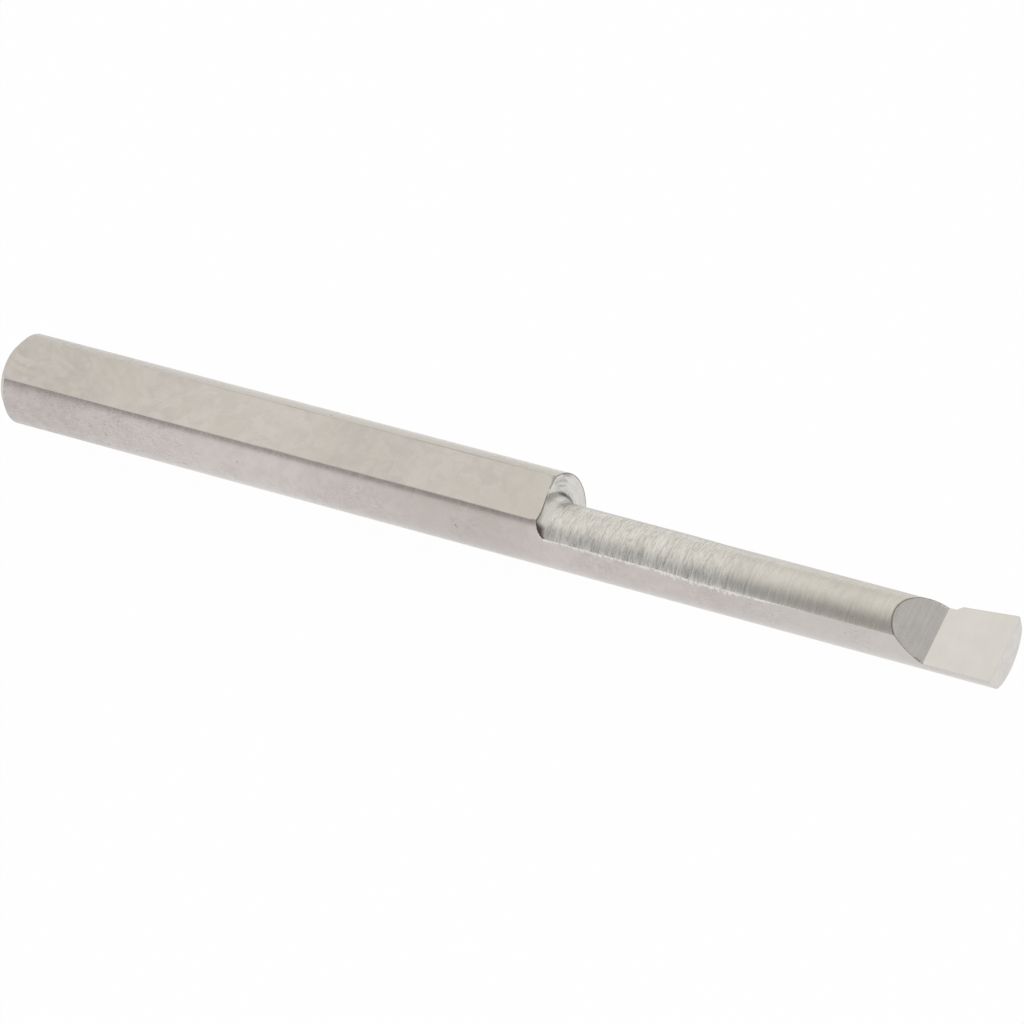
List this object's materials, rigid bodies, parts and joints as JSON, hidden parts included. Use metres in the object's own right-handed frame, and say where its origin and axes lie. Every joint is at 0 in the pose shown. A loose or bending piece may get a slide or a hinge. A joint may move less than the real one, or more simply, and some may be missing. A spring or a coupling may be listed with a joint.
{
  "type": "boring bar",
  "caption": "Solid right-hand boring bar: round shank with a ground flat and chamfered end, slimmer eccentric neck, and a relieved cutting head with a flat rake face.",
  "frame": {"origin": "centre of the back end, on the shank's axis", "axes": "+X along the shank's axis from the back end to the tip, +Z square to the rake face and to the shank's flat and out of both, +Y to the side that the cutting point is on"},
  "size_m": [0.0381, 0.0032, 0.0029],
  "materials": {
    "ground_carbide": "uncoated fine-ground carbide, matt on the shank, ring-marked on the neck, brighter on the rake face"
  },
  "bodies": {
    "root": {"boring_bar": "ground_carbide"}
  },
  "joints": []
}
